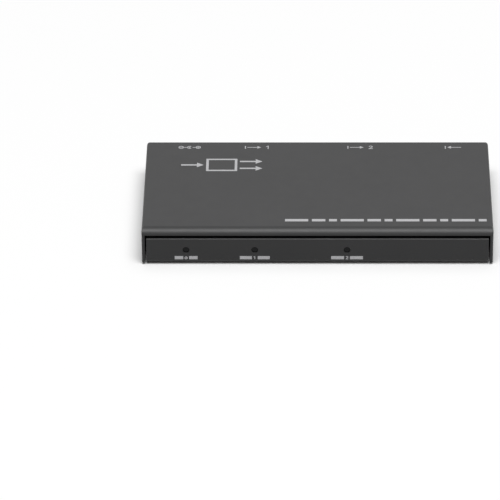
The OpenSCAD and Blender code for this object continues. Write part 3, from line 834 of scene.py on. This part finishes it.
@dataclass
class Print:
    """Signs printed on the case in pale ink: at the sockets, at the lights and across the top."""

    ink: float = 0.02 * MM
    port_from_rear: float = 3.4 * MM
    port_height: float = 1.8 * MM
    port_line: float = 0.34 * MM
    port_arrow: float = -0.7
    port_number: float = 1.9
    light_z: float = 2.65 * MM
    light_height: float = 0.95 * MM
    light_line: float = 0.26 * MM
    light_widths: tuple[float, float, float] = (7.5 * MM, 9.8 * MM, 10.4 * MM)
    stripe_from_front: float = 6.6 * MM
    stripe_height: float = 1.5 * MM
    stripe_x: Point = (-10.6 * MM, 55.4 * MM)
    stripe_dashes: tuple[float, float, float] = (7.6 * MM, 4.4 * MM, 2.6 * MM)
    stripe_gap: float = 1.2 * MM
    plan_middle: Point = (-32.0 * MM, 13.8 * MM)
    plan_half: Point = (13.6 * MM, 4.1 * MM)
    plan_line: float = 0.85 * MM
    plan_box: float = 10.4 * MM
    plan_head: float = 3.0 * MM
    plan_step: float = 4.6 * MM

    def lay(self, name: str, face: Face, shapes: Iterable[Shape]) -> bpy.types.Object:
        """Print shapes on one face as a thin layer of ink.

        Args:
            name: Name of the piece.
            face: Face of the case.
            shapes: Shapes in that face's own coordinates.

        Returns:
            The ink layer.
        """
        if face is Face.TOP:
            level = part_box("top_cover")[1].z - self.ink / 4
            out = Vector((0, 0, self.ink))
        else:
            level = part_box("base_tray")[0].y + self.ink / 4
            out = Vector((0, -self.ink, 0))
        mesh = bmesh.new()
        for shape in shapes:
            seen: dict[tuple[float, float], bmesh.types.BMVert] = {}
            for outline in shape.faces():
                corners = []
                for spot in outline:
                    key = (round(spot.x, 8), round(spot.y, 8))
                    if key not in seen:
                        place = (spot.x, spot.y, level) if face is Face.TOP else (spot.x, level, spot.y)
                        seen[key] = mesh.verts.new(place)
                    corners.append(seen[key])
                mesh.faces.new(corners)
        under = list(mesh.faces)
        raised = bmesh.ops.extrude_face_region(mesh, geom=under, use_keep_orig=True)
        verts = [item for item in raised["geom"] if isinstance(item, bmesh.types.BMVert)]
        bmesh.ops.translate(mesh, verts=verts, vec=out)
        piece = add_piece(name, mesh)
        INK.put_on(piece)
        return piece

    def port_signs(self) -> list[Shape]:
        """Signs along the rear edge, each in front of its socket or jack.

        Returns:
            The signs' lines and areas.
        """
        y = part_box("top_cover")[1].y - self.port_from_rear
        height, line = self.port_height, self.port_line
        shapes = Sign.POLARITY.shapes((middle("power_jack_housing").x, y), height, line)
        for node, number in (("output_1_shell", Sign.ONE), ("output_2_shell", Sign.TWO)):
            x = middle(node).x
            shapes += Sign.OUTPUT.shapes((x + self.port_arrow * height, y), height, line)
            shapes += number.shapes((x + self.port_number * height, y), height, line)
        shapes += Sign.INPUT.shapes((middle("input_shell").x, y), height, line)
        return shapes

    def light_signs(self) -> list[Shape]:
        """Signs under the lights: a plain sign between two bars.

        Returns:
            The signs' lines and areas.
        """
        lights = (
            ("power_light_pipe", Sign.POWER),
            ("output_1_light_pipe", Sign.ONE),
            ("output_2_light_pipe", Sign.TWO),
        )
        height = self.light_height
        shapes: list[Shape] = []
        for (node, sign), width in zip(lights, self.light_widths):
            x = middle(node).x
            shapes += sign.shapes((x, self.light_z), height, self.light_line)
            rise = (height + self.light_line) / 2
            low, high = self.light_z - rise, self.light_z + rise
            for start, end in ((-width / 2, -height), (height, width / 2)):
                shapes.append(bar((x + start, low), (x + end, high)))
        return shapes

    def stripe(self) -> list[Shape]:
        """Row of dashes along the front of the top, long and short by turns.

        Returns:
            The signs' lines and areas.
        """
        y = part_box("top_cover")[0].y + self.stripe_from_front
        low, high = y - self.stripe_height / 2, y + self.stripe_height / 2
        x, end = self.stripe_x
        shapes: list[Shape] = []
        turn = 0
        while x < end - self.stripe_gap:
            dash = self.stripe_dashes[turn % len(self.stripe_dashes)]
            shapes.append(bar((x, low), (min(x + dash, end), high)))
            x += dash + self.stripe_gap
            turn += 1
        return shapes

    def plan(self) -> list[Shape]:
        """Plan of what the splitter does: one arrow into a plain box and two out of it.

        Returns:
            The signs' lines and areas.
        """
        x, y = self.plan_middle
        half_x, half_y = self.plan_half
        line, head = self.plan_line, self.plan_head
        side = self.plan_box / 2
        reach_x, reach_y = side - line / 2, half_y - line / 2
        corners = tuple((x + u * reach_x, y + v * reach_y) for u, v in ((-1, -1), (1, -1), (1, 1), (-1, 1)))
        length = half_x - side - line
        shapes: list[Shape] = [Line(corners, line, closed=True), arrow((x - half_x, y), length, head, line)]
        for level in (y - self.plan_step / 2, y + self.plan_step / 2):
            shapes.append(arrow((x + side + line, level), length, head, line))
        return shapes

    def build(self) -> None:
        """Print all signs."""
        self.lay("print_ports", Face.TOP, self.port_signs())
        self.lay("print_lights", Face.FRONT, self.light_signs())
        self.lay("print_stripe", Face.TOP, self.stripe())
        self.lay("print_plan", Face.TOP, self.plan())


@dataclass
class Feet:
    """Stick-on rubber feet, moulded with a rounded rim around a shallow hollow."""

    diameter: float = 8 * MM
    rim_round: float = 0.35 * MM
    rim_steps: int = 6
    top_ease: float = 0.1
    hollow_depth: float = 0.25 * MM
    hollow_share: float = 0.6
    segments: int = 48

    def profile(self, height: float) -> list[Point]:
        """Outline of a foot from its middle below to its middle above.

        Args:
            height: Height of the foot.

        Returns:
            Radius and level of each point.
        """
        radius, soft = self.diameter / 2, self.rim_round
        inner = self.hollow_share * radius
        ease = self.top_ease * soft
        rim = arc((radius - soft, soft), soft, -90, 0, self.rim_steps)
        return [
            (0.0, self.hollow_depth), (inner - self.hollow_depth, self.hollow_depth), (inner, 0.0),
            *rim, (radius, height - ease), (radius - ease, height), (0.0, height),
        ]

    def build(self) -> None:
        """Turn the four feet on a lathe in the places of the CAD feet."""
        low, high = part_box("rubber_feet")
        inset = self.diameter / 2
        profile = self.profile(high.z - low.z)
        mesh = bmesh.new()
        for x in (low.x + inset, high.x - inset):
            for y in (low.y + inset, high.y - inset):
                self.turn(mesh, profile, Vector((x, y, low.z)))
        feet = add_piece("moulded_feet", mesh, smooth=True)
        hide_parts("rubber_feet")
        FOOT_RUBBER.put_on(feet)

    def turn(self, mesh: bmesh.types.BMesh, profile: Sequence[Point], place: Vector) -> None:
        """Add one turned foot.

        Args:
            mesh: Mesh to add to.
            profile: Radius and level of each point.
            place: Middle of the foot's underside.
        """
        rings = []
        for radius, level in profile:
            count = self.segments if radius else 1
            angles = [2 * math.pi * i / count for i in range(count)]
            spots = [Vector((radius * math.cos(a), radius * math.sin(a), level)) for a in angles]
            rings.append([mesh.verts.new(place + spot) for spot in spots])
        for inner, outer in zip(rings, rings[1:]):
            for i in range(self.segments):
                corners = [inner[i % len(inner)], outer[i % len(outer)]]
                after = [outer[(i + 1) % len(outer)], inner[(i + 1) % len(inner)]]
                mesh.faces.new(list(dict.fromkeys(corners + after)))


@dataclass
class Case:
    """Folded cover and tray with their screws, feet and print."""

    feet: Feet = field(default_factory=Feet)
    signs: Print = field(default_factory=Print)

    def build(self) -> None:
        """Make the feet and the print."""
        self.feet.build()
        self.signs.build()

    def dress(self) -> None:
        """Coat the sheet metal and blacken the screws."""
        dress(CASE_COAT, "top_cover", "base_tray")
        dress(SCREW_BLACK, "cover_screws")


@dataclass
class VideoSocket:
    """One video socket: a plated shell around a contact tongue."""

    name: str

    def dress(self) -> None:
        """Plate the shell and the contacts, and mould the tongue."""
        dress(NICKEL, f"{self.name}_shell")
        dress(BLACK_PLASTIC, f"{self.name}_insulator")
        dress(GOLD, f"{self.name}_contacts")


@dataclass
class PowerJack:
    """Round power jack: a moulded housing, a pin and a side spring."""

    def dress(self) -> None:
        """Mould the housing, and plate the pin and the spring."""
        dress(BLACK_PLASTIC, "power_jack_housing")
        dress(NICKEL, "power_jack_pin", "power_jack_spring")


@dataclass
class Indicator:
    """One front light: a lamp on the board behind a dark light pipe."""

    name: str

    def dress(self) -> None:
        """Make the pipe smoky and the unlit lamp white."""
        dress(LENS, f"{self.name}_light_pipe")
        dress(LAMP_WHITE, f"{self.name}_lamp")


@dataclass
class Electronics:
    """Circuit board, what holds it, and what is soldered to it."""

    def dress(self) -> None:
        """Give each part on the board its usual finish."""
        dress(BOARD_MASK, "main_board")
        dress(BRASS, "board_standoffs")
        dress(ZINC, "board_screws", "clock_crystal")
        dress(CHIP_MOULD, "splitter_chip", "memory_chip", "voltage_regulator", "surge_arrays", "chip_resistors")
        dress(TIN, "splitter_chip_leads", "memory_chip_leads", "regulator_leads")
        dress(PAD_GREY, "thermal_pad")
        dress(FIN_METAL, "heat_sink")
        dress(FERRITE, "power_inductor")
        dress(CAN_METAL, "storage_capacitors")
        dress(BLACK_PLASTIC, "capacitor_bases")
        dress(CERAMIC, "chip_capacitors")


@dataclass
class Studio:
    """Camera of the photograph, pale floor, soft lights and white surroundings."""

    elevation: float = 30.5
    distance: float = 1.5
    image_width: float = 500.0
    object_pixel: Point = (317.4, 202.6)
    object_width_pixels: float = 351.6
    sensor: float = 36.0
    clip: Point = (0.05, 50.0)
    ambient: float = 0.3
    floor_size: float = 6.0
    floor_cells: int = 8
    floor_colour: Colour = (0.78, 0.78, 0.78)
    floor_near: Point = (0.0, 0.0)
    floor_far: Point = (9 * MM, 0.88)
    key_place: tuple[float, float, float] = (0.04, -0.29, 0.86)
    key_size: Point = (0.7, 0.45)
    key_power: float = 9.0
    rear_place: tuple[float, float, float] = (-0.05, 0.6, 0.55)
    rear_size: Point = (1.0, 0.5)
    rear_power: float = 0.9

    def camera(self) -> None:
        """Set the camera in the case's mid-plane, turned so that the case lies where it was seen."""
        low, high = CAD_BOUNDS
        target = (low + high) / 2
        tilt = math.radians(self.elevation)
        back = Vector((0.0, -math.cos(tilt), math.sin(tilt)))
        front_depth = self.distance - (high.y - low.y) / 2 * math.cos(tilt)
        focal = self.object_width_pixels * front_depth / (high.x - low.x)
        data = bpy.data.cameras.new("photo_camera")
        data.sensor_width = self.sensor
        data.lens = focal / self.image_width * self.sensor
        data.clip_start, data.clip_end = self.clip
        camera = bpy.data.objects.new("photo_camera", data)
        bpy.context.scene.collection.objects.link(camera)
        right = (self.object_pixel[0] - self.image_width / 2) / focal
        above = (self.image_width / 2 - self.object_pixel[1]) / focal
        aim = (-back).to_track_quat("-Z", "Y")
        turn = Euler((-math.atan(above), math.atan(right), 0.0)).to_quaternion()
        camera.rotation_mode = "QUATERNION"
        camera.rotation_quaternion = aim @ turn
        camera.location = target + back * self.distance
        bpy.context.scene.camera = camera

    @staticmethod
    def seen(tree: bpy.types.NodeTree) -> bpy.types.NodeSocket:
        """Value that is 1 on rays that show a surface directly, in a reflection or through glass.

        Args:
            tree: Node tree to add to.

        Returns:
            The value.
        """
        path = tree.nodes.new("ShaderNodeLightPath")
        value = path.outputs["Is Camera Ray"]
        for name in ("Is Glossy Ray", "Is Transmission Ray"):
            join = tree.nodes.new("ShaderNodeMath")
            join.operation = "MAXIMUM"
            tree.links.new(value, join.inputs[0])
            tree.links.new(path.outputs[name], join.inputs[1])
            value = join.outputs[0]
        return value

    def surroundings(self) -> None:
        """White all round where it is seen, and a plain level where it lights the object."""
        world = bpy.data.worlds.new("studio_white")
        world.use_nodes = True
        tree = world.node_tree
        background = tree.nodes["Background"]
        background.inputs["Color"].default_value = (1.0, 1.0, 1.0, 1.0)
        level = tree.nodes.new("ShaderNodeMapRange")
        level.inputs["To Min"].default_value = self.ambient
        level.inputs["To Max"].default_value = 1.0
        tree.links.new(self.seen(tree), level.inputs["Value"])
        tree.links.new(level.outputs["Result"], background.inputs["Strength"])
        bpy.context.scene.world = world

    @staticmethod
    def beside(tree: bpy.types.NodeTree) -> bpy.types.NodeSocket:
        """Distance of a floor point from the case's footprint, which is 0 under the case.

        Args:
            tree: Node tree to add to.

        Returns:
            The distance.
        """
        low, high = CAD_BOUNDS
        half = ((high.x - low.x) / 2, (high.y - low.y) / 2, 0.0)
        none = (0.0, 0.0, 0.0)
        value = tree.nodes.new("ShaderNodeTexCoord").outputs["Object"]
        for operation, other in (("ABSOLUTE", none), ("SUBTRACT", half), ("MAXIMUM", none), ("LENGTH", none)):
            step = tree.nodes.new("ShaderNodeVectorMath")
            step.operation = operation
            step.inputs[1].default_value = other
            tree.links.new(value, step.inputs[0])
            value = step.outputs["Value" if operation == "LENGTH" else "Vector"]
        return value

    def floor(self) -> None:
        """Pale floor that keeps the shadow close to the case and shows white around it."""
        mesh = bmesh.new()
        cells = self.floor_cells
        bmesh.ops.create_grid(mesh, x_segments=cells, y_segments=cells, size=self.floor_size / 2)
        data = bpy.data.meshes.new("floor")
        mesh.to_mesh(data)
        mesh.free()
        floor = bpy.data.objects.new("floor", data)
        bpy.context.scene.collection.objects.link(floor)
        material = bpy.data.materials.new("pale_floor")
        material.use_nodes = True
        tree = material.node_tree
        tree.nodes.remove(tree.nodes["Principled BSDF"])
        matte = tree.nodes.new("ShaderNodeBsdfDiffuse")
        matte.inputs["Color"].default_value = rgba(self.floor_colour)
        glow = tree.nodes.new("ShaderNodeEmission")
        fade = tree.nodes.new("ShaderNodeMapRange")
        fade.interpolation_type = "SMOOTHSTEP"
        for name, value in zip(("From Min", "To Min", "From Max", "To Max"), self.floor_near + self.floor_far):
            fade.inputs[name].default_value = value
        tree.links.new(self.beside(tree), fade.inputs["Value"])
        share = tree.nodes.new("ShaderNodeMath")
        share.operation = "MULTIPLY"
        tree.links.new(self.seen(tree), share.inputs[0])
        tree.links.new(fade.outputs["Result"], share.inputs[1])
        mix = tree.nodes.new("ShaderNodeMixShader")
        tree.links.new(share.outputs[0], mix.inputs["Fac"])
        tree.links.new(matte.outputs[0], mix.inputs[1])
        tree.links.new(glow.outputs[0], mix.inputs[2])
        tree.links.new(mix.outputs[0], tree.nodes["Material Output"].inputs["Surface"])
        floor.data.materials.append(material)

    def softbox(self, name: str, place: Sequence[float], size: Point, power: float) -> None:
        """Hang one soft light, aimed at the case.

        Args:
            name: Name of the light.
            place: Where it hangs.
            size: Its width and height.
            power: Its power in watts.
        """
        data = bpy.data.lights.new(name, "AREA")
        data.shape = "RECTANGLE"
        data.size, data.size_y = size
        data.energy = power
        light = bpy.data.objects.new(name, data)
        light.location = place
        light.rotation_mode = "QUATERNION"
        light.rotation_quaternion = (-Vector(place)).to_track_quat("-Z", "Y")
        bpy.context.scene.collection.objects.link(light)

    def build(self) -> None:
        """Set up camera, floor, surroundings and light."""
        self.camera()
        self.floor()
        self.surroundings()
        self.softbox("key_softbox", self.key_place, self.key_size, self.key_power)
        self.softbox("rear_softbox", self.rear_place, self.rear_size, self.rear_power)
        bpy.context.scene.view_settings.view_transform = "Standard"
        LOG.info("set the studio")


def main() -> None:
    """Build the studio and dress the splitter, one sub-assembly after another."""
    logging.basicConfig(level=logging.INFO, format="%(message)s")
    Studio().build()
    case = Case()
    case.build()
    case.dress()
    for name in ("output_1", "output_2", "input"):
        VideoSocket(name).dress()
    PowerJack().dress()
    for name in ("power", "output_1", "output_2"):
        Indicator(name).dress()
    Electronics().dress()


if __name__ == "__main__":
    main()
